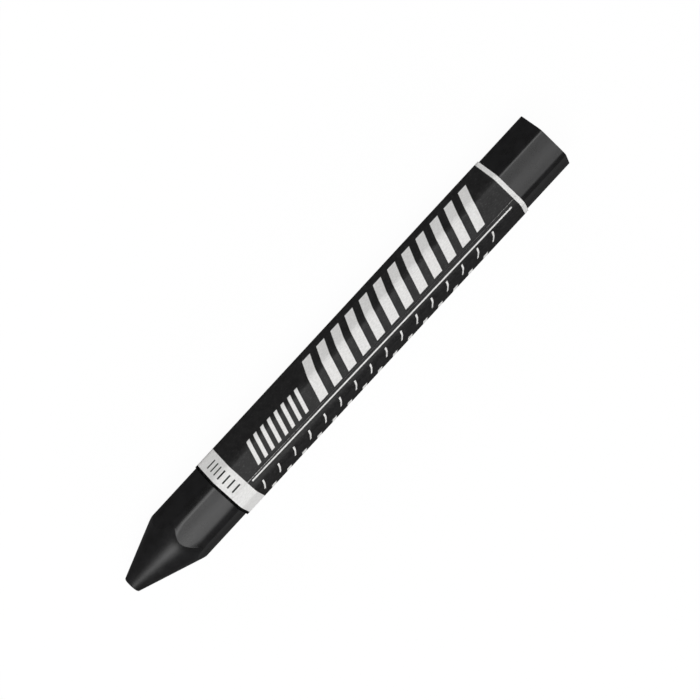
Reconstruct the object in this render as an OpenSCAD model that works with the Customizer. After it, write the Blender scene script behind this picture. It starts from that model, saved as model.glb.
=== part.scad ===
// Hexagonal marking crayon: a wax and clay bar with a ground point, and a printed
// paper label wound round its middle and pasted to itself.
// The crayon lies on one flat. +X runs along it towards the point and +Z is up.
// The origin is on the table under the middle of its length.

/* [Stick] */
// Length from the blunt point to the square-cut butt
stick_length = 117.5; // [110:0.5:150]
// Width across two opposite flats
across_flats = 11.9; // [9:0.1:16]
// Radius of the six long corners
corner_radius = 1.5; // [0.8:0.1:2.4]

/* [Point] */
// Diameter of the blunt end, before its rim is rounded
tip_diameter = 3.5; // [2:0.1:6]
// Angle between the side of the cone and its axis
cone_angle = 20; // [14:0.1:30]
// Rounding of the blunt end's rim
tip_rim_radius = 0.4; // [0.2:0.1:0.9]
// Distance by which the cone is ground off the stick's centre
cone_offset = 0.57; // [0:0.01:1]
// Way that the cone is off centre, in degrees from +Y towards +Z
cone_heading = 250; // [0:5:355]

/* [Label] */
// Length of the label along the stick
label_length = 80.1; // [60:0.1:90]
// Bare stick between the blunt point and the label
label_setback = 25.3; // [20:0.1:34]
// Thickness of the paper
paper_thickness = 0.1; // [0.06:0.01:0.2]
// Thickness of the paste between two turns
paste_thickness = 0.03; // [0.02:0.01:0.1]
// Whole turns of paper round the stick
label_turns = 2; // [1:1:4]
// Flat that the paper starts on, counted clockwise from the top one and seen from the point
start_flat = 2; // [0:1:5]
// Gap between the start of the paper and the end of that flat
start_to_corner = 1; // [0.4:0.1:1.6]
// Paper past the last whole turn, measured on the stick
label_overlap = 10.3; // [2:0.1:30]
// Length over which the paper climbs on to its own start
climb_length = 0.8; // [0.4:0.1:1.2]

/* [Print] */
// Black line along the label's edge nearest the point
edge_line = 0.6; // [0.2:0.1:1.5]
// White band behind the edge line
white_band = 4.3; // [2:0.1:10]
// White stripe along the label's edge nearest the butt
butt_stripe = 0.95; // [0.4:0.05:3]

/* [Hidden] */
$fn = 96;

wax_black = "#232225";
ink_black = "#1d1c1e";
paper_white = "#ebe9e4";
paste_tan = "#cdbb8a";

// The bar's section: flats are counted clockwise from the top one, seen from the point
flat_count = 6;
flat_turn = 360 / flat_count;
bottom_flat = flat_count / 2;
apothem = across_flats / 2;
// The centres of the corner arcs are the corners of a smaller hexagon
spine_apothem = apothem - corner_radius;
spine_corner = spine_apothem / cos(flat_turn / 2);
flat_width = 2 * spine_apothem * tan(flat_turn / 2);
bend_length = corner_radius * flat_turn * PI / 180;
flat_pitch = flat_width + bend_length;
// A corner arc is this much larger than a tangent one, so that it crosses the flats cleanly
arc_excess = 0.001;

// The paper and its paste. The winding is drawn clockwise from the top flat, and laid from there
// on to the flat that it starts on, where it runs anticlockwise.
layer_pitch = paper_thickness + paste_thickness;
start_y = flat_width / 2 - start_to_corner;
// Level stretch at either end of a climb, half of it shared with the turn that it joins
climb_lap = 0.2;
climb_top_y = start_y - climb_lap / 2;
climb_foot_y = climb_top_y - climb_length;
// Anything past this distance from the axis is clear of the label
clear_reach = 2 * across_flats;

// Where the last layer ends: how many flats on from its start, and how far along that flat or its bend
end_run = flat_width - start_to_corner + label_overlap;
end_flat = floor(end_run / flat_pitch);
end_along = end_run - end_flat * flat_pitch;
end_bend = max(0, end_along - flat_width) / bend_length * flat_turn;
end_heading = 90 - end_flat * flat_turn - end_bend;
end_base = turned([min(end_along, flat_width) - flat_width / 2, spine_apothem], -end_flat * flat_turn);

// Layers between the stick and the table, which is so many flats on from the start of the paper
flats_to_table = (start_flat + flat_count - bottom_flat) % flat_count;
layers_beneath = label_turns + (end_flat >= flats_to_table ? 1 : 0);
axis_height = apothem + layers_beneath * layer_pitch - paste_thickness;

// The ground point, with the bar and the cone each run on past the other
cone_spare = 1;
cone_reach = stick_length + 2 * cone_spare;
cone_centre = cone_offset * heading(cone_heading);
tip_radius = tip_diameter / 2;
rim_centre = tip_radius + tip_rim_radius * (tan(cone_angle) - 1 / cos(cone_angle));
rim_half_angle = (90 - cone_angle) / 2;

// Stretches of print along the label, from the point to the butt
print_field = label_length - edge_line - white_band - butt_stripe;
print_zones = [
    [edge_line, ink_black],
    [white_band, paper_white],
    [print_field, ink_black],
    [butt_stripe, paper_white]
];

function heading(angle) = [cos(angle), sin(angle)];

function turned(p, angle) = [
    p.x * cos(angle) - p.y * sin(angle),
    p.x * sin(angle) + p.y * cos(angle)
];

function zone_offset(i) = i == 0 ? 0 : zone_offset(i - 1) + print_zones[i - 1][0];

// Lays a length whose section is drawn in Y and Z along X, above the table
module along_stick() {
    translate([0, 0, axis_height])
        rotate([90, 0, 90])
            children();
}

// What a rounding takes off a corner that points along +X, drawn from the centre of its arc
module corner_waste(radius, half_angle) {
    wedge_reach = 2 * radius;
    difference() {
        polygon([[0, 0], wedge_reach * heading(-half_angle), wedge_reach * heading(half_angle)]);
        circle(r = radius + arc_excess);
    }
}

// Section of the bar, with every side moved out by grow
module bar_section(grow) {
    flat_height = apothem + grow;
    half_side = flat_height * tan(flat_turn / 2);
    difference() {
        polygon([
            [2 * half_side, 0],
            [half_side, flat_height],
            [-half_side, flat_height],
            [-2 * half_side, 0],
            [-half_side, -flat_height],
            [half_side, -flat_height]
        ]);
        for (corner = [0 : flat_count - 1])
            rotate(corner * flat_turn)
                translate([spine_corner, 0])
                    corner_waste(corner_radius + grow, flat_turn / 2);
    }
}

// A closed layer between two heights above the bar
module layer_section(low, high) {
    difference() {
        bar_section(high);
        bar_section(low);
    }
}

// A whole turn, open on the top flat where the paper climbs
module turn_section(low, high) {
    difference() {
        layer_section(low, high);
        translate([climb_foot_y - climb_lap / 2, 0])
            square([climb_length + climb_lap, clear_reach]);
    }
}

// The climb on the top flat from one turn to the next
module climb_section(low, high) {
    foot_low = apothem + low;
    foot_high = apothem + high;
    polygon([
        [climb_foot_y - climb_lap, foot_low],
        [climb_foot_y, foot_low],
        [climb_top_y, foot_low + layer_pitch],
        [climb_top_y + climb_lap, foot_low + layer_pitch],
        [climb_top_y + climb_lap, foot_high + layer_pitch],
        [climb_top_y, foot_high + layer_pitch],
        [climb_foot_y, foot_high],
        [climb_foot_y - climb_lap, foot_high]
    ]);
}

// The overlap: the part of a layer from the start of the paper, clockwise to its end
module overlap_section(low, high) {
    intersection() {
        layer_section(low, high);
        polygon([
            [start_y, spine_apothem],
            [start_y, clear_reach],
            for (corner = [0 : 1 : end_flat - 1])
                clear_reach * heading(flat_turn - corner * flat_turn),
            end_base + clear_reach * heading(end_heading),
            end_base
        ]);
    }
}

// A strip wound round the bar from the given turn to the end of the overlap, laid where it starts.
// low and high are its faces above the underside of the paper.
module wound_section(first_turn, low, high) {
    rotate(-start_flat * flat_turn)
        mirror([1, 0]) {
            for (turn = [first_turn : 1 : label_turns - 1]) {
                rise = turn * layer_pitch;
                turn_section(rise + low, rise + high);
                climb_section(rise + low, rise + high);
            }
            overlap_section(label_turns * layer_pitch + low, label_turns * layer_pitch + high);
        }
}

// Everything inside the ground cone, with its blunt end at the origin and its base towards -Z
module ground_cone() {
    rotate_extrude()
        difference() {
            polygon([
                [0, 0],
                [tip_radius, 0],
                [tip_radius + cone_reach * tan(cone_angle), -cone_reach],
                [0, -cone_reach]
            ]);
            translate([rim_centre, -tip_rim_radius])
                rotate(cone_angle + rim_half_angle)
                    corner_waste(tip_rim_radius, rim_half_angle);
        }
}

module crayon_stick() {
    color(wax_black)
        along_stick()
            intersection() {
                translate([0, 0, -stick_length / 2])
                    linear_extrude(height = stick_length + cone_spare)
                        bar_section(0);
                translate([cone_centre.x, cone_centre.y, stick_length / 2])
                    ground_cone();
            }
}

module paper_label() {
    for (i = [0 : len(print_zones) - 1]) {
        zone_length = print_zones[i][0];
        color(print_zones[i][1])
            along_stick()
                translate([0, 0, stick_length / 2 - label_setback - zone_offset(i) - zone_length])
                    linear_extrude(height = zone_length)
                        wound_section(0, 0, paper_thickness);
    }
}

module label_paste() {
    color(paste_tan)
        along_stick()
            translate([0, 0, stick_length / 2 - label_setback - label_length])
                linear_extrude(height = label_length)
                    wound_section(1, -paste_thickness, 0);
}

crayon_stick();
paper_label();
label_paste();
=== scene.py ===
# %% [markdown]
# # A hexagonal marking crayon
# This lesson builds the looks of a workshop crayon: a black bar of wax and clay with a ground
# point, and a printed paper label wound round its middle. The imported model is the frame. It
# fixes every size and place, in metres, with +X towards the point and +Z up. All that follows
# is modelled on to that frame with Blender's own tools, one piece at a time.

# %% Load the frame
import math
import bpy
from mathutils import Matrix, Vector


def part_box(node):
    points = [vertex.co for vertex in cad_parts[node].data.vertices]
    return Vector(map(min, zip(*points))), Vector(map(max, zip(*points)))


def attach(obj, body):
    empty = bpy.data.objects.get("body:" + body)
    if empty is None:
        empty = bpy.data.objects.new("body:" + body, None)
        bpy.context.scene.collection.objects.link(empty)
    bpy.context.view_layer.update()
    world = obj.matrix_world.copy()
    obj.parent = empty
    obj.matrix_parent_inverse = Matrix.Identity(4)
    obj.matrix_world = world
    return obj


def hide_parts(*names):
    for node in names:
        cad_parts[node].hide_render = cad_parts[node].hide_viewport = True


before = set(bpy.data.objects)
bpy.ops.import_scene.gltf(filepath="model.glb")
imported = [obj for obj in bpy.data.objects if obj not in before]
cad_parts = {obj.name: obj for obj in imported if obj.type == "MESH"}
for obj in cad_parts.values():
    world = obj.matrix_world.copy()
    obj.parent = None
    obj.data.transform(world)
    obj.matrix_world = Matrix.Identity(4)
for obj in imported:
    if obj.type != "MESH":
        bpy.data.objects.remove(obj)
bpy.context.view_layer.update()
print("nodes:", sorted(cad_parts))

# %% [markdown]
# ## Sizes
# What the frame already knows is read from it: where the bar and the label begin and end, how
# high the bar's axis is and how wide the flats are. The rest are the few sizes that a box can't
# tell. They are written in millimetres, as a caliper would give them on the real crayon.

# %% Sizes from the frame
MM = 0.001
bar_low, bar_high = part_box("crayon_stick")
label_low, label_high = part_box("paper_label")
butt_x, point_x = bar_low.x, bar_high.x
axis_z = (bar_low.z + bar_high.z) / 2
apothem = (bar_high.z - bar_low.z) / 2
label_mm = (label_high.x - label_low.x) / MM
print(f"bar {(point_x - butt_x) / MM:.1f} mm long, {2 * apothem / MM:.1f} mm across flats")

# %% Sizes read off the crayon
FLATS = 6
FLAT_TURN = math.tau / FLATS
CORNER_RADIUS = 1.5 * MM
CONE_ANGLE = math.radians(20)
TIP_RADIUS = 1.75 * MM
TIP_RIM_RADIUS = 0.4 * MM
CONE_OFFSET = 0.57 * MM
CONE_HEADING = math.radians(250)
cone_y = CONE_OFFSET * math.cos(CONE_HEADING)
cone_z = axis_z + CONE_OFFSET * math.sin(CONE_HEADING)
print(f"cone axis {cone_y / MM:.2f} mm across and {(cone_z - axis_z) / MM:.2f} mm up from the bar's")

# %% [markdown]
# ## Working by hand
# Blender's operators act on whatever is selected, and the frame arrives selected. So each step
# starts from an empty selection, and edges or faces are picked by what they are: the edges that
# run along the bar, or the rim of an end. These helpers are the hands that do it.

# %% Hands
def let_go():
    """Leaves edit mode and deselects everything."""
    if bpy.context.object and bpy.context.object.mode != "OBJECT":
        bpy.ops.object.mode_set(mode="OBJECT")
    bpy.ops.object.select_all(action="DESELECT")


def take(piece):
    """Makes a piece the only one selected, and the active one."""
    let_go()
    piece.select_set(True)
    bpy.context.view_layer.objects.active = piece


def open_up(piece):
    """Opens a piece in edit mode with all of it selected."""
    take(piece)
    bpy.ops.object.mode_set(mode="EDIT")
    bpy.ops.mesh.select_all(action="SELECT")


def settle(name):
    """Names the new primitive and puts its place into its mesh."""
    piece = bpy.context.object
    piece.name = piece.data.name = name
    bpy.ops.object.transform_apply(location=True, rotation=True, scale=True)
    return piece

# %% Hands that pick and finish
def pick_edges(piece, test):
    """Opens a piece with only the edges selected whose two ends pass a test, and counts them."""
    open_up(piece)
    bpy.ops.mesh.select_mode(type="EDGE")
    bpy.ops.mesh.select_all(action="DESELECT")
    bpy.ops.object.mode_set(mode="OBJECT")
    points = piece.data.vertices
    count = 0
    for edge in piece.data.edges:
        edge.select = test(*(points[i].co for i in edge.vertices))
        count += edge.select
    bpy.ops.object.mode_set(mode="EDIT")
    return count


def use_modifier(piece, kind, **settings):
    """Adds a modifier, sets it and applies it."""
    take(piece)
    modifier = piece.modifiers.new(kind.title(), kind)
    for key, value in settings.items():
        setattr(modifier, key, value)
    bpy.ops.object.modifier_apply(modifier=modifier.name)

# %% [markdown]
# ## The bar
# The real bar is pressed through a die, so its section is the same all along: a hexagon whose
# corners are well rounded. A curve with a bevel profile could make it, but a six-sided cylinder
# already is the hexagon. Bevelling its six long edges then rounds the corners as the die does. A
# profile of 0.5 is round on a square corner; on these blunter ones a little more brings the
# middle of the bevel out to the die's radius.

# %% A six-sided bar
QUARTER_TURN = math.radians(90)
let_go()
bpy.ops.mesh.primitive_cylinder_add(
    vertices=FLATS,
    radius=apothem / math.cos(FLAT_TURN / 2),
    depth=point_x - butt_x,
    location=((butt_x + point_x) / 2, 0, axis_z),
    rotation=(0, QUARTER_TURN, 0),
)
stick = settle("wax_bar")
print("bar faces:", len(stick.data.polygons))

# %% Round its long corners
CORNER_STEPS = 12
CORNER_PROFILE = 0.536
long_edges = pick_edges(stick, lambda a, b: abs(a.x - b.x) > apothem)
bpy.ops.mesh.bevel(
    offset=CORNER_RADIUS * math.tan(FLAT_TURN / 2),
    segments=CORNER_STEPS,
    profile=CORNER_PROFILE,
    affect="EDGES",
)
let_go()
print("rounded", long_edges, "corners")

# %% [markdown]
# ## The point
# The maker grinds the point on a wheel after pressing, a little off the bar's centre. Where a
# round cone runs out through flat sides it leaves six scallops, no two alike here. Drawing those
# curves by hand would never fit. A boolean does what the wheel did: it keeps what lies inside
# both the bar and a cone, and the scallops come by themselves.

# %% The cone that the wheel leaves
CONE_SIDES = 192
SPARE = 1 * MM
cone_length = point_x - butt_x + SPARE
let_go()
bpy.ops.mesh.primitive_cone_add(
    vertices=CONE_SIDES,
    radius1=TIP_RADIUS + cone_length * math.tan(CONE_ANGLE),
    radius2=TIP_RADIUS,
    depth=cone_length,
    location=(point_x - cone_length / 2, cone_y, cone_z),
    rotation=(0, QUARTER_TURN, 0),
)
cone = settle("grinding_cone")
print(f"cone {cone_length / MM:.1f} mm long")

# %% Round the blunt end's rim
RIM_STEPS = 8
RIM_PROFILE = 0.5
rim_run = TIP_RIM_RADIUS * math.tan((QUARTER_TURN - CONE_ANGLE) / 2)
rim_edges = pick_edges(cone, lambda a, b: min(a.x, b.x) > point_x - SPARE)
bpy.ops.mesh.bevel(offset=rim_run, segments=RIM_STEPS, profile=RIM_PROFILE, affect="EDGES")
let_go()
print("rounded a rim of", rim_edges, "edges")

# %% Grind the bar
WELD = 0.005 * MM
use_modifier(stick, "BOOLEAN", operation="INTERSECT", solver="EXACT", object=cone)
bpy.data.objects.remove(cone)
open_up(stick)
bpy.ops.mesh.remove_doubles(threshold=WELD)
let_go()
print("ground bar:", len(stick.data.polygons), "faces")

# %% [markdown]
# ## Softened edges
# Wax doesn't hold a knife edge: handling rounds the scallops and the rim of the cut butt. A
# bevel that only takes edges sharper than a set angle finds them all at once, and leaves the
# small steps of the round surfaces alone. Weighted normals then keep the flats looking flat.

# %% Wear the edges round
WORN_EDGE = 0.16 * MM
WORN_STEPS = 3
WORN_ANGLE = math.radians(13)
FLATS_FIRST = 100
use_modifier(
    stick, "BEVEL",
    width=WORN_EDGE, segments=WORN_STEPS, limit_method="ANGLE", angle_limit=WORN_ANGLE,
)
take(stick)
bpy.ops.object.shade_smooth()
use_modifier(stick, "WEIGHTED_NORMAL", keep_sharp=True, weight=FLATS_FIRST)
print("worn bar:", len(stick.data.polygons), "faces")

# %% [markdown]
# ## The label's path
# The label is one sheet, wound a little over two turns and pasted to itself. It starts on a
# lower flat, climbs on to its own start at each turn, and its cut end lies on the top flat as a
# thin light line. Seen from the end of the crayon the rolled sheet is a drawing in two
# dimensions: flats, corner arcs and two short climbs. So it is drawn as a path first, in
# millimetres, clockwise from the top flat where the sums are easy, and then turned over on to
# the flat where it starts. The film of paste between the turns follows the same path, one turn
# shorter.

# %% The sheet's sizes
PAPER = 0.1
PASTE = 0.03
TURNS = 2
OVERLAP = 10.3
START_FLAT = 2
START_TO_CORNER = 1.0
CLIMB = 0.8
CLIMB_LAP = 0.2
END_SPARE = 0.6
layer_pitch = PAPER + PASTE
corner_mm = CORNER_RADIUS / MM
spine = apothem / MM - corner_mm
half_flat = spine * math.tan(FLAT_TURN / 2)
spine_corner = spine / math.cos(FLAT_TURN / 2)
climb_top = half_flat - START_TO_CORNER - CLIMB_LAP / 2
climb_foot = climb_top - CLIMB
print(f"each flat is {2 * half_flat:.2f} mm wide between its corners")

# %% Round one corner
ARC_STEPS = 24
bend_run = corner_mm * FLAT_TURN


def bend(index, radius, share=1.0):
    """The arc round one corner, counted clockwise from the top flat's right-hand end."""
    middle = FLAT_TURN * (1 - index)
    centre = spine_corner * math.cos(middle), spine_corner * math.sin(middle)
    for step in range(ARC_STEPS + 1):
        angle = middle + FLAT_TURN / 2 - share * FLAT_TURN * step / ARC_STEPS
        yield centre[0] + radius * math.cos(angle), centre[1] + radius * math.sin(angle)


def turn_over(y, z):
    """Mirrors a point of the path and turns it from the top flat to the one it starts on."""
    angle = -START_FLAT * FLAT_TURN
    return -y * math.cos(angle) - z * math.sin(angle), z * math.cos(angle) - y * math.sin(angle)


print(f"a corner is {bend_run:.2f} mm round")

# %% Draw the winding
def winding(level, first_turn):
    """A path at a level above the bar, clockwise from the top flat, from a turn to the end."""
    points = [(half_flat - START_TO_CORNER, spine + corner_mm + level)]
    for turn in range(first_turn, TURNS):
        for index in range(FLATS):
            points.extend(bend(index, corner_mm + level))
        points.append((climb_foot, spine + corner_mm + level))
        level += layer_pitch
        points.append((climb_top, spine + corner_mm + level))
    left = OVERLAP + END_SPARE - START_TO_CORNER
    index = 0
    while left > 0:
        points.extend(bend(index, corner_mm + level, min(1, left / bend_run)))
        left -= bend_run
        index += 1
        if 0 < left < 2 * half_flat:
            y, z = points[-1]
            heading = -FLAT_TURN * index
            points.append((y + left * math.cos(heading), z + left * math.sin(heading)))
        left -= 2 * half_flat
    return [turn_over(y, z) for y, z in points]


def run_of(points):
    """The length of a path."""
    return sum(math.dist(a, b) for a, b in zip(points, points[1:]))


paper_path = winding(PAPER / 2, 0)
paste_path = winding(PAPER + PASTE / 2, 1)
print(f"the paper's path is {run_of(paper_path):.2f} mm long, the paste's {run_of(paste_path):.2f} mm")

# %% [markdown]
# ## Rolling the sheets
# A sheet of paper keeps its length when it is rolled, so it starts flat: a grid at its cut size,
# whose own UV map remembers where each point was before rolling. That map is where the print
# goes later. The real sheet's end was trimmed a little out of square, so a bisect trims it here
# too. Then the Curve modifier rolls it along the path, as a label machine would, Solidify gives
# it its thickness, and it is laid on the bar. Extruding the path would be quicker, but would
# leave no flat sheet to print on.

# %% Cut a flat sheet
SHEET_STEP = 0.15
ROW_STEP = 4.0
SEAM_Y = 1.46
SEAM_SLANT = 0.0079


def cut_sheet(name, points, shy):
    """A flat sheet for a path, short of the label's edges by a margin, with its end trimmed."""
    run = run_of(points)
    width = label_mm - 2 * shy
    let_go()
    bpy.ops.mesh.primitive_grid_add(
        x_subdivisions=round(run / SHEET_STEP),
        y_subdivisions=round(width / ROW_STEP),
        size=1,
        location=(run / 2, 0, 0),
    )
    bpy.context.object.scale = (run, width, 1)
    sheet = settle(name)
    end = run - (SEAM_Y - points[-1][0]) - shy
    open_up(sheet)
    bpy.ops.mesh.bisect(plane_co=(end, 0, 0), plane_no=(1, SEAM_SLANT, 0), clear_outer=True)
    let_go()
    print(f"{name}: {end:.1f} mm round by {width:.1f} mm along the bar")
    return sheet

# %% Roll it up
def roll_up(sheet, points):
    """Stands a sheet on its long edge and rolls it along a path."""
    path = bpy.data.curves.new("winding_path", "CURVE")
    path.dimensions = "2D"
    spline = path.splines.new("POLY")
    spline.points.add(len(points) - 1)
    for point, (y, z) in zip(spline.points, points):
        point.co = (y, z, 0, 1)
    roller = bpy.data.objects.new("winding_path", path)
    bpy.context.scene.collection.objects.link(roller)
    open_up(sheet)
    bpy.ops.transform.rotate(value=QUARTER_TURN, orient_axis="X", center_override=(0, 0, 0))
    use_modifier(sheet, "CURVE", object=roller, deform_axis="POS_X")
    bpy.data.objects.remove(roller)
    open_up(sheet)
    bpy.ops.mesh.flip_normals()
    let_go()

# %% Thicken it and lay it on the bar
SMOOTH_BELOW = math.radians(30)


def lay_sheet(sheet, thickness, sides):
    """Gives a rolled sheet its thickness. A second side also covers its back and its cut edges."""
    for _ in range(sides):
        sheet.data.materials.append(None)
    use_modifier(
        sheet, "SOLIDIFY",
        thickness=thickness, offset=0, use_even_offset=True, material_offset=1, material_offset_rim=1,
    )
    sheet.rotation_euler = (QUARTER_TURN, 0, QUARTER_TURN)
    sheet.scale = (MM, MM, MM)
    sheet.location = ((label_low.x + label_high.x) / 2, 0, axis_z)
    take(sheet)
    bpy.ops.object.transform_apply(location=True, rotation=True, scale=True)
    bpy.ops.object.shade_smooth_by_angle(angle=SMOOTH_BELOW)
    print(f"{sheet.name}: {len(sheet.data.polygons)} faces, {sheet.dimensions.y / MM:.2f} mm wide")

# %% The paper, and the paste between its turns
PASTE_MARGIN = 0.15
label = cut_sheet("paper_wrap", paper_path, 0)
roll_up(label, paper_path)
lay_sheet(label, PAPER, 2)
paste = cut_sheet("paste_film", paste_path, PASTE_MARGIN)
roll_up(paste, paste_path)
lay_sheet(paste, PASTE, 1)

# %% [markdown]
# ## Shader arithmetic
# A finish is worked out from where a point is. Written with nodes that takes dozens of Math
# nodes, which are hard to read. This small class lets the same sums be written as Python: each
# sum or product on a wire adds its own Math node, and every other node comes from one method.

# %% A wire that does sums
NOISE_MIDDLE, NOISE_REACH = 0.5, 0.2


class Wire:
    """An output socket of a shader tree that can be used in Python sums."""

    def __init__(self, tree, socket=None):
        self.tree = tree
        self.socket = socket

    def node(self, kind, settings=None, sockets=None, output=0):
        """Adds a node: its settings first, then the values or wires of its sockets."""
        made = self.tree.nodes.new("ShaderNode" + kind)
        for key, value in (settings or {}).items():
            setattr(made, key, value)
        feed(made, sockets or {})
        return Wire(self.tree, made.outputs[output])

    def math(self, operation, *values):
        """Adds a Math node."""
        return self.node("Math", {"operation": operation}, dict(enumerate(values)))

    def __add__(self, other):
        return self.math("ADD", self, other)

    def __sub__(self, other):
        return self.math("SUBTRACT", self, other)

    def __rsub__(self, other):
        return self.math("SUBTRACT", other, self)

    def __mul__(self, other):
        return self.math("MULTIPLY", self, other)

    def __truediv__(self, other):
        return self.math("DIVIDE", self, other)

    def __rtruediv__(self, other):
        return self.math("DIVIDE", other, self)

    __radd__ = __add__
    __rmul__ = __mul__

    def __abs__(self):
        return self.math("ABSOLUTE", self)

    def either(self, other):
        """The larger of two wires."""
        return self.math("MAXIMUM", self, other)

    def rise(self, low, high):
        """A smooth step from 0 at low to 1 at high."""
        return self.node(
            "MapRange", {"interpolation_type": "SMOOTHSTEP"},
            {"Value": self, "From Min": low, "From Max": high},
        )

    def spread(self):
        """Noise stays near its middle, so this stretches it to the whole of 0 to 1."""
        return self.rise(NOISE_MIDDLE - NOISE_REACH, NOISE_MIDDLE + NOISE_REACH)

    def about_zero(self):
        """Noise swings about its middle, so this makes it swing about 0."""
        return self - NOISE_MIDDLE

    def between(self, low, high, blur):
        """1 between two values and 0 outside, with soft edges."""
        return self.rise(low - blur, low + blur) - self.rise(high - blur, high + blur)

    # A Mix node has sockets for each kind of value: 4 and 5 are vectors, 6 and 7 are colours.
    def blend(self, low, high):
        """Mixes two colours, with this wire as the share of the second."""
        return self.node("Mix", {"data_type": "RGBA"}, {0: self, 6: low, 7: high}, output=2)

    def blend_normals(self, low, high):
        """Mixes two surface directions, with this wire as the share of the second."""
        return self.node("Mix", {"data_type": "VECTOR"}, {0: self, 4: low, 5: high}, output=1)

# %% Hands for finishes
def feed(node, values):
    """Links wires to a node's sockets, or sets plain values on them."""
    for key, value in values.items():
        if isinstance(value, Wire):
            value.tree.links.new(value.socket, node.inputs[key])
        else:
            node.inputs[key].default_value = value


def new_finish(name):
    """A new material, a bare wire in its tree, and its shader."""
    material = bpy.data.materials.new(name)
    material.use_nodes = True
    tree = material.node_tree
    return material, Wire(tree), tree.nodes["Principled BSDF"]


def place_of(wire):
    """The place of a point of the piece, in millimetres."""
    place = wire.node("TexCoord", output="Object")
    return wire.node("VectorMath", {"operation": "SCALE"}, {0: place, "Scale": 1 / MM})


def part_of(vector, axis):
    """One of the three numbers of a vector."""
    return vector.node("SeparateXYZ", {}, {0: vector}, output=axis)


def noise(vector, size, detail=2.0, stretch=(1, 1, 1)):
    """Noise whose waves are so many millimetres long, and more where they are stretched."""
    mapped = vector.node("Mapping", {}, {"Vector": vector, "Scale": [1 / s for s in stretch]})
    return vector.node("TexNoise", {}, {"Vector": mapped, "Scale": 1 / size, "Detail": detail})


def bump(height):
    """A surface raised by a height in millimetres."""
    return height.node("Bump", {}, {"Strength": 1.0, "Distance": MM, "Height": height}, output="Normal")

# %% [markdown]
# ## Wax
# Pressed wax and clay is nearly black, with a satin gloss. It shrinks as it cools, so each flat
# is hollow by a few hundredths of a millimetre, wavy by as much, and faintly lined by the die.
# Here and there it has a pore or a scratch. Its long corners are crisp at the butt, and fingers
# have softened them towards the point. The cone carries rings from the wheel, which bit a little
# deeper at its shoulder, and is duller. The butt, cut with a wire, is duller still, and its grey is
# painted paler than the wax: painted light that lifts an end face the lamps reach less than the
# flats. So the finish first works out which of the three a point is on, from its place alone.
# Each of them has its own bump, made of noise that is stretched along the bar for the die, round
# it for the wheel and across it for the wire. The three surface directions are then blended.
# Blending the heights would leave ridges along the masks.

# %% Where a point is on the bar
GROUND_EDGE = 0.01, 0.08
BLUNT_EDGE = 0.5, 1.0
CUT_EDGE = 0.02, 0.12
wax, wax_wire, shader = new_finish("pressed_wax")
place = place_of(wax_wire)
x = part_of(place, "X")
y = part_of(place, "Y")
height = part_of(place, "Z") - axis_z / MM


def reach(over, above):
    """The distance of a point from an axis along the bar."""
    return wax_wire.math("SQRT", over * over + above * above)


behind_tip = point_x / MM - x
cone_radius = TIP_RADIUS / MM + behind_tip * math.tan(CONE_ANGLE)
inside_cone = cone_radius - reach(y - cone_y / MM, height - (cone_z - axis_z) / MM)
ground = 1 - inside_cone.rise(*GROUND_EDGE) * behind_tip.rise(*BLUNT_EDGE)
cut = 1 - (x - butt_x / MM).rise(*CUT_EDGE)
print(f"the cone runs about {(apothem - TIP_RADIUS) / math.tan(CONE_ANGLE) / MM:.1f} mm back")

# %% Where it is on its flat
CRISP_CORNER = 1.0
HANDLED_MORE, ONE_SIDE_MORE, POINT_MORE = 0.95, 0.55, 2.4
UNDER_LABEL, NEAR_POINT, TO_ONE_SIDE = (-40, 30), (42, 48), (-1.5, 1.5)
SHOULDER = 0.9
from_axis = reach(y, height)
sector = wax_wire.math("ARCTAN2", height, y) / FLAT_TURN
swing = (wax_wire.math("FRACT", sector) - 0.5) * FLAT_TURN
across = from_axis * wax_wire.math("SINE", swing)
outward = from_axis * wax_wire.math("COSINE", swing)
handled = HANDLED_MORE * x.rise(*UNDER_LABEL) + POINT_MORE * x.rise(*NEAR_POINT)
worn_radius = CRISP_CORNER + ONE_SIDE_MORE * y.rise(*TO_ONE_SIDE) + handled
worn_spine = apothem / MM - worn_radius
past_flat = (abs(across) - worn_spine * math.tan(FLAT_TURN / 2)).either(0)
proud = reach(past_flat, outward - worn_spine) - worn_radius
to_shoulder = wax_wire.node("Clamp", {}, {"Value": 1 + proud / SHOULDER})
print(f"corners look {CRISP_CORNER} mm round, and {HANDLED_MORE + POINT_MORE:.2f} mm more at the point")

# %% What is on its surface
HOLLOW_ASIDE, HOLLOW_REACH = 0.65, 2.4
SCRATCH_WIDTH = 0.012
SCRATCHED_PATCHES = 0.45, 0.6
PORE_SPACING = 1.25
PORE_EDGE = 0.04, 0.09
waves = noise(place, size=5.0, stretch=(3, 1, 1))
blotches = noise(place, size=2.2, detail=4.0)
grain = noise(place, size=0.11)
die_lines = noise(place, size=0.33, stretch=(50, 1, 1))
wheel_rings = noise(place, size=0.2, stretch=(1, 30, 30))
wire_lines = noise(place, size=0.25, stretch=(1, 20, 1))
level_line = abs(noise(place, size=1.6, stretch=(25, 1, 1)).about_zero())
scratches = (1 - level_line.rise(0, SCRATCH_WIDTH)) * blotches.rise(*SCRATCHED_PATCHES)
from_pore = wax_wire.node("TexVoronoi", {}, {"Vector": place, "Scale": 1 / PORE_SPACING})
pores = 1 - from_pore.rise(*PORE_EDGE)
sag = abs(across - HOLLOW_ASIDE).rise(0, HOLLOW_REACH)
print("wax nodes so far:", len(wax.node_tree.nodes))

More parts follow.
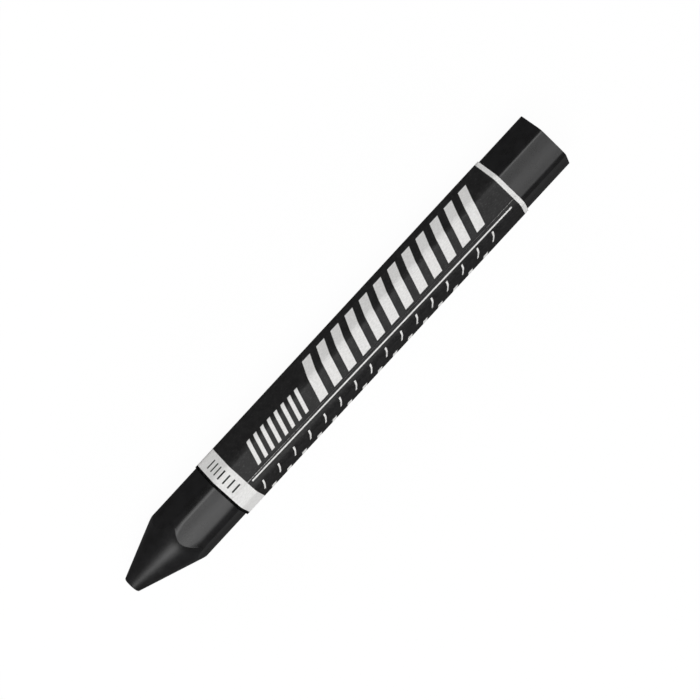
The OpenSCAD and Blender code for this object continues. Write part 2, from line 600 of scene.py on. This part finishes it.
# %% How deep it is
HOLLOW, WAVY = 0.06, 0.05
SHOULDER_BITE, BITE_STEEPNESS = 0.16, 3
BLOTCHY, GRAINY, PORE_DEPTH = 0.003, 0.0015, 0.012
DIE_DEPTH, SCRATCH_DEPTH, WHEEL_DEPTH, WIRE_DEPTH = 0.002, 0.003, 0.004, 0.02
skin = BLOTCHY * blotches + GRAINY * grain - PORE_DEPTH * pores
form = HOLLOW * sag + WAVY * waves - proud
flat_skin = bump(skin + form + DIE_DEPTH * die_lines - SCRATCH_DEPTH * scratches)
bite = SHOULDER_BITE * wax_wire.math("POWER", to_shoulder, BITE_STEEPNESS)
cone_skin = bump(skin + WHEEL_DEPTH * wheel_rings + bite)
butt_skin = bump(skin + WIRE_DEPTH * wire_lines)
wax_skin = cut.blend_normals(ground.blend_normals(flat_skin, cone_skin), butt_skin)
print(f"flats hollow by {HOLLOW} mm, the wheel's rings {WHEEL_DEPTH} mm deep")

# %% How dark and how dull it is
WAX_DARK, WAX_PALE = (0.0048, 0.0047, 0.005, 1), (0.0086, 0.0085, 0.009, 1)
# The butt's two greys are paler than the wax as painted light, lifting an end face that the lamps reach
# less than the flats.
CUT_DARK_PAINTED_LIGHT, CUT_PALE_PAINTED_LIGHT = (0.018, 0.0177, 0.0182, 1), (0.032, 0.0315, 0.0325, 1)
SATIN = 0.24
CONE_DULLER, TIP_DULLER, CUT_DULLER = 0.03, 0.11, 0.3
BLOTCH_DULLER, GRAIN_DULLER, SCRATCH_DULLER = 0.06, 0.02, 0.06
WORN_TIP = 48, 58
wax_black = blotches.spread().blend(WAX_DARK, WAX_PALE)
# The butt's painted-light grey, varied between its two tones by the wire's lines.
cut_grey_painted_light = wire_lines.spread().blend(CUT_DARK_PAINTED_LIGHT, CUT_PALE_PAINTED_LIGHT)
dulled = ground * (CONE_DULLER + TIP_DULLER * x.rise(*WORN_TIP)) + CUT_DULLER * cut
uneven = BLOTCH_DULLER * blotches + GRAIN_DULLER * grain + SCRATCH_DULLER * scratches
feed(shader, {
    "Base Color": cut.blend(wax_black, cut_grey_painted_light),
    "Roughness": SATIN + dulled + uneven,
    "Normal": wax_skin,
})
stick.data.materials.append(wax)
print("wax nodes:", len(wax.node_tree.nodes))

# %% [markdown]
# ## Print
# The label is white paper, printed black nearly all over. What stays white is what the press
# left out. The sheet's own map gives each point's place before rolling, so the print is drawn in
# flat millimetres: so far from the edge nearest the point, and so far round from the middle of
# the top flat, where +Y is positive. The last lap is counted on from the seam, so that the print
# runs on across it. The marks are plain bars, ticks and dashes that say nothing. A picture could
# hold them too, but sums stay sharp at any distance.

# %% Places on the flat sheet
def crossings(points):
    """Distances along the path at which it crosses the middle of the top flat."""
    run = 0.0
    for (y0, z0), (y1, z1) in zip(points, points[1:]):
        step = math.dist((y0, z0), (y1, z1))
        if z0 > 0 and y0 * y1 < 0:
            yield run + step * y0 / (y0 - y1)
        run += step


RAGGED = 0.08
path_run = run_of(paper_path)
path_end_y = paper_path[-1][0]
crown = list(crossings(paper_path))[-1]
lap_start = path_run - END_SPARE - OVERLAP
lap_jump = path_end_y + path_run - crown
printed, print_wire, shader = new_finish("label_print")
sheet_map = print_wire.node("UVMap")
flat_size = path_run, label_mm, 1
sheet = sheet_map.node("VectorMath", {"operation": "MULTIPLY"}, {0: sheet_map, 1: flat_size})
ragged = RAGGED * noise(sheet, size=0.17).about_zero()
along = part_of(sheet, "Y") + ragged
run = part_of(sheet, "X") + ragged
around = crown - run + lap_jump * print_wire.math("GREATER_THAN", run, lap_start)
print(f"the outer turn crosses the top flat {crown:.2f} mm along the sheet")

# %% Kinds of mark
BLUR = 0.05
DASH_START, DASH_END = 9.0, 72.0
DASH_HEIGHT = 0.45
DASH_GAP = 0.1
MISSING = 0.2


def bars(ahead, cross, first, count, pitch, width, low, high, slant=0.0):
    """A row of bars: count of them from first, a pitch apart, between low and high the other way."""
    half_gap = (pitch - width) / 2
    from_first = ahead - slant * cross - first + half_gap
    row = from_first.between(0, count * pitch, BLUR) * cross.between(low, high, BLUR)
    turns = print_wire.math("FRACT", from_first / pitch)
    return row * turns.between(half_gap / pitch, 1 - half_gap / pitch, BLUR / pitch)


def dashes(low, pitch):
    """A line of dashes along the sheet, with some of them missing by chance."""
    turns = along / pitch
    draw = print_wire.math("FLOOR", turns) + low
    chance = print_wire.node("TexWhiteNoise", {"noise_dimensions": "1D"}, {"W": draw})
    row = along.between(DASH_START, DASH_END, BLUR) * around.between(low, low + DASH_HEIGHT, BLUR)
    dash = print_wire.math("FRACT", turns).between(DASH_GAP, 1 - DASH_GAP, BLUR / pitch)
    return row * dash * print_wire.math("GREATER_THAN", chance, MISSING)

# %% What the press leaves white
EDGE_LINE = 0.6
WHITE_BAND = 4.3
BUTT_STRIPE = 0.95
RULE_START, RULE_END = 5.85, 77.7
RULE_Y, RULE_SLANT, RULE_HALF = 1.69, 0.0125, 0.14
# Each line of dashes starts so far round and has so long a pitch.
DASH_LINES = ((-12.0, 2.1), (-13.4, 3.1), (-14.8, 2.5), (-19.0, 2.7), (-20.4, 2.0), (-21.8, 3.3))
field_start = EDGE_LINE + WHITE_BAND
field_end = label_mm - BUTT_STRIPE
rule_place = around - RULE_Y - RULE_SLANT * (along - RULE_START)
marks = [
    along.between(EDGE_LINE, field_start, BLUR),
    along.rise(field_end - BLUR, field_end + BLUR),
    rule_place.between(-RULE_HALF, RULE_HALF, BLUR) * along.between(RULE_START, RULE_END, BLUR),
    bars(along, around, first=26.0, count=12, pitch=4.0, width=2.2, low=-8.2, high=1.05, slant=-0.35),
    bars(along, around, first=9.0, count=8, pitch=1.9, width=0.85, low=-4.4, high=0.5, slant=-0.35),
    bars(along, around, first=8.0, count=16, pitch=4.3, width=0.4, low=3.1, high=6.6, slant=-0.3),
    bars(along, around, first=10.0, count=15, pitch=4.3, width=1.2, low=8.6, high=11.6, slant=-0.3),
]
marks += [dashes(low, pitch) for low, pitch in DASH_LINES]
white = marks[0]
for mark in marks[1:]:
    white = white.either(mark)
tally = bars(around, along, first=-7.6, count=7, pitch=1.3, width=0.35, low=1.6, high=3.8)
ink = (1 - white).either(tally)
edge_line = 1 - along.rise(EDGE_LINE - BLUR, EDGE_LINE + BLUR)
print("marks left white:", len(marks))

# %% Where the ink is thin
SCUFF = 0.15
SCUFFED_FIBRES = 0.35, 0.6
RUBBED_BY_POINT, RUBBED_BY_BUTT = 0.75, 0.35
BY_POINT, BY_BUTT = (4, 30), (66, 77)
SPECKLED = 0.025
SPECKLED_FIBRES = 0.5, 0.75
fibres = noise(sheet, size=0.2, detail=4.0, stretch=(1, 3, 1))
mottle = noise(sheet, size=1.6, detail=3.0)
to_cut = path_run - (SEAM_Y - path_end_y) - run - SEAM_SLANT * (along - label_mm / 2)
rubbed = RUBBED_BY_POINT * (1 - along.rise(*BY_POINT)) + RUBBED_BY_BUTT * along.rise(*BY_BUTT)
at_cut = (1 - to_cut.rise(0, SCUFF)) * (1 - edge_line)
scuffed = at_cut * fibres.rise(*SCUFFED_FIBRES) * rubbed
specks = SPECKLED * fibres.rise(*SPECKLED_FIBRES)
cover = ink * (1 - scuffed) * (1 - specks)
print(f"the ink is scuffed for {SCUFF} mm along the sheet's end")

# %% Ink on paper
PAPER_DULL, PAPER_WHITE = (0.66, 0.655, 0.645, 1), (0.78, 0.775, 0.765, 1)
INK_DARK, INK_PALE = (0.0098, 0.0096, 0.0098, 1), (0.0148, 0.0145, 0.0148, 1)
LINE_BLACK = (0.0015, 0.0015, 0.0015, 1)
PAPER_ROUGH, PAPER_UNEVEN, PAPER_SHEEN = 0.7, 0.1, 0.02
INK_ROUGH, INK_UNEVEN, INK_SHEEN = 0.42, 0.1, 0.42
FIBRE_DEPTH, COCKLE = 0.004, 0.01
white_paper = fibres.spread().blend(PAPER_DULL, PAPER_WHITE)
field_black = mottle.spread().blend(INK_DARK, INK_PALE)
feed(shader, {
    "Base Color": cover.blend(white_paper, edge_line.blend(field_black, LINE_BLACK)),
    "Roughness": PAPER_ROUGH + PAPER_UNEVEN * mottle.about_zero(),
    "Specular IOR Level": PAPER_SHEEN,
    "Coat Weight": (INK_SHEEN + INK_UNEVEN * mottle.about_zero()) * cover * (1 - edge_line),
    "Coat Roughness": INK_ROUGH,
    "Normal": bump(FIBRE_DEPTH * fibres + COCKLE * mottle),
})
label.data.materials[0] = printed
print("print nodes:", len(printed.node_tree.nodes))

# %% [markdown]
# ## Bare paper and paste
# The inside and the cut edges of the label show plain white paper, with fibres and no print.
# Along the middle of the sheet's end, and in the black line at its edge, the knife has drawn ink
# over the cut. The paste shows only as a hairline between the turns: dry, yellowish and a little
# shiny. Both are plain noise in the place of the point, since no map is needed there.

# %% Bare paper
EDGE_DULL, EDGE_WHITE = (0.62, 0.61, 0.59, 1), (0.78, 0.77, 0.75, 1)
DRAWN_INK = (0.05, 0.049, 0.048, 1)
DRAWN_SHARE = 0.8
DRAWN_OVER, DRAWN_BLUR = (-42, 22), 5
EDGE_ROUGH, EDGE_UNEVEN = 0.75, 0.1
SHEET_FACE = 0.03
bare_paper, paper_wire, shader = new_finish("bare_paper")
place = place_of(paper_wire)
x = part_of(place, "X")
line_end = label_high.x / MM
in_line = x.between(line_end - EDGE_LINE, line_end - SHEET_FACE, SHEET_FACE / 2)
drawn = DRAWN_SHARE * x.between(*DRAWN_OVER, DRAWN_BLUR).either(in_line)
plain = noise(place, size=0.12, detail=3.0).blend(EDGE_DULL, EDGE_WHITE)
feed(shader, {
    "Base Color": drawn.blend(plain, DRAWN_INK),
    "Roughness": EDGE_ROUGH + EDGE_UNEVEN * noise(place, size=0.3),
    "Normal": bump(FIBRE_DEPTH * noise(place, size=0.1)),
})
label.data.materials[1] = bare_paper
print("bare paper nodes:", len(bare_paper.node_tree.nodes))

# %% Dry paste
PASTE_DARK, PASTE_PALE = (0.45, 0.36, 0.19, 1), (0.62, 0.52, 0.31, 1)
PASTE_ROUGH, PASTE_UNEVEN = 0.45, 0.2
PASTE_DEPTH = 0.004
dry_paste, paste_wire, shader = new_finish("dry_paste")
place = place_of(paste_wire)
feed(shader, {
    "Base Color": noise(place, size=0.25, detail=3.0).blend(PASTE_DARK, PASTE_PALE),
    "Roughness": PASTE_ROUGH + PASTE_UNEVEN * noise(place, size=0.5),
    "Normal": bump(PASTE_DEPTH * noise(place, size=0.2)),
})
paste.data.materials[0] = dry_paste
print("paste nodes:", len(dry_paste.node_tree.nodes))

# %% [markdown]
# ## Stage
# The photograph has no background at all: the crayon is cut out on white. A floor bright enough
# to look so white would light the crayon from below, while the real one was shot in a dark room.
# So the floor and the room are dark to the light that bounces about, and white to the camera and
# to anything seen through glass. Metal would need that white in its gloss too. Here there is only
# satin wax and ink, whose flats plainly mirror the dark room, so glossy rays get a small share.
# The part of the floor's brightness that comes from the lamps is what keeps the shadow.

# %% A floor that looks white
FLOOR_DROP = 0.05 * MM
FLOOR_SIZE = 20
FLOOR_SHADE = 0.04
GLOSS_SHARE = 0.06


def white_share(wire):
    """How much of the white background each kind of ray sees."""
    seen = wire.node("LightPath", output="Is Camera Ray")
    through = wire.node("LightPath", output="Is Transmission Ray")
    mirrored = wire.node("LightPath", output="Is Glossy Ray")
    return seen.either(through).either(GLOSS_SHARE * mirrored)


let_go()
bpy.ops.mesh.primitive_plane_add(size=FLOOR_SIZE, location=(0, 0, -FLOOR_DROP))
floor = settle("studio_floor")
floor_finish, floor_wire, shader = new_finish("floor_white")
glow = 1 - FLOOR_SHADE
feed(shader, {
    "Base Color": (FLOOR_SHADE, FLOOR_SHADE, FLOOR_SHADE, 1),
    "Roughness": 1.0,
    "Specular IOR Level": 0.0,
    "Emission Color": white_share(floor_wire).blend((0, 0, 0, 1), (glow, glow, glow, 1)),
    "Emission Strength": 1.0,
})
floor.data.materials.append(floor_finish)
print(f"floor {FLOOR_DROP / MM:.2f} mm below the crayon")

# %% The room
ROOM_GLOW = 0.08
world = bpy.data.worlds.new("studio")
world.use_nodes = True
bpy.context.scene.world = world
room = Wire(world.node_tree)
background = world.node_tree.nodes["Background"]
dim = (ROOM_GLOW, ROOM_GLOW, ROOM_GLOW, 1)
feed(background, {"Color": white_share(room).blend(dim, (1, 1, 1, 1)), "Strength": 1.0})
print(f"the room glows at {ROOM_GLOW} of white")

# %% [markdown]
# ## Light
# The gloss tells what lit the real crayon. The top flat mirrors one wide softbox overhead, and
# the cone and the first corner each show its brighter middle as a narrow streak. One lamp can't
# be brighter in its middle, so three are hung one just below the other, each narrower, with the
# widest a little to one side. They hang askew to the crayon, which lay across the table. Two
# panels at the sides fill the side flats, and a low one behind fills the butt. These are kept out
# of the gloss, because nothing is mirrored there in the photograph.

# %% A soft lamp
def soft_lamp(name, location, turn, size, brightness, mirrored=True):
    """A soft rectangular lamp whose face is as bright as a surface of that colour."""
    lamp = bpy.data.lights.new(name, "AREA")
    lamp.shape = "RECTANGLE"
    lamp.size, lamp.size_y = size
    lamp.energy = math.pi * size[0] * size[1] * brightness
    holder = bpy.data.objects.new(name, lamp)
    holder.location = location
    holder.rotation_euler = turn
    holder.visible_camera = False
    holder.visible_glossy = mirrored
    bpy.context.scene.collection.objects.link(holder)
    print(f"{name}: {lamp.energy:.1f} W")

# %% The softbox overhead
KEY_PLACE = Vector((0.34, 0.0585, 0.6))
KEY_STEP = Vector((0, 0, -0.005))
KEY_TURN = 0, 0, math.radians(18)
KEY_LENGTH = 1.24
# Each layer hangs so far aside, and is so wide and so bright.
KEY_LAYERS = ((0.05, 0.72, 1.05), (0, 0.42, 0.85), (0, 0.18, 1.5))
for step, (aside, width, brightness) in enumerate(KEY_LAYERS):
    spot = KEY_PLACE + step * KEY_STEP + Vector((0, aside, 0))
    soft_lamp(f"softbox_{step}", spot, KEY_TURN, (KEY_LENGTH, width), brightness)

# %% Panels at the sides and behind
SIDE_LEAN = math.radians(75)
SIDE_SIZE = 1.2, 0.6
# Each side panel stands on a side and is so bright.
SIDE_LIGHT = ((1, 2.4), (-1, 2.0))
END_LEAN = math.radians(84)
END_SIZE = 0.2, 0.9
END_LIGHT = 5.0
for side, brightness in SIDE_LIGHT:
    spot = (0, side * math.sin(SIDE_LEAN), math.cos(SIDE_LEAN))
    soft_lamp(f"panel_{side}", spot, (-side * SIDE_LEAN, 0, 0), SIDE_SIZE, brightness, mirrored=False)
spot = (-math.sin(END_LEAN), 0, math.cos(END_LEAN))
soft_lamp("end_panel", spot, (0, -END_LEAN, 0), END_SIZE, END_LIGHT, mirrored=False)

# %% [markdown]
# ## Camera
# The crayon was photographed from above and a little to one side, close enough for its two ends
# to splay, and turned so that it runs from the lower left to the upper right. The camera's axes
# are built from those few angles and put straight into its matrix.

# %% The photographer's place
VIEW_DISTANCE = 0.42
VIEW_WIDTH = 0.1352
VIEW_LEAN = math.radians(13.3)
VIEW_ROLL = math.radians(47.27)
VIEW_ALONG = -3.33 * MM
VIEW_ASIDE = -0.17 * MM
towards = Vector((0, -math.sin(VIEW_LEAN), math.cos(VIEW_LEAN)))
sideways = Vector((0, math.cos(VIEW_LEAN), math.sin(VIEW_LEAN)))
lengthways = Vector((1, 0, 0))
right = sideways * math.sin(VIEW_ROLL) - lengthways * math.cos(VIEW_ROLL)
upright = -sideways * math.cos(VIEW_ROLL) - lengthways * math.sin(VIEW_ROLL)
target = Vector((VIEW_ALONG, 0, axis_z)) + VIEW_ASIDE * sideways
eye = bpy.data.cameras.new("photo_camera")
eye.lens = eye.sensor_width * VIEW_DISTANCE / VIEW_WIDTH
camera = bpy.data.objects.new("photo_camera", eye)
facing = Matrix((right, upright, towards)).transposed().to_4x4()
camera.matrix_world = Matrix.Translation(target + VIEW_DISTANCE * towards) @ facing
bpy.context.scene.collection.objects.link(camera)
bpy.context.scene.camera = camera
bpy.context.scene.view_settings.view_transform = "Standard"
print(f"lens {eye.lens:.1f} mm on a {eye.sensor_width:.0f} mm sensor")

# %% [markdown]
# ## On to the frame
# Each finished piece stands for one piece of the frame and rides on its body. Both are at the
# origin with their places in their meshes, so nothing moves when they are tied on.

# %% Ride on the frame
for piece, node, slot in (
    (stick, "crayon_stick", "wax"),
    (label, "paper_label", "printed_paper"),
    (paste, "label_paste", "paste"),
):
    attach(piece, "root")
    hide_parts(node)
    print(piece.name, "stands for", node)
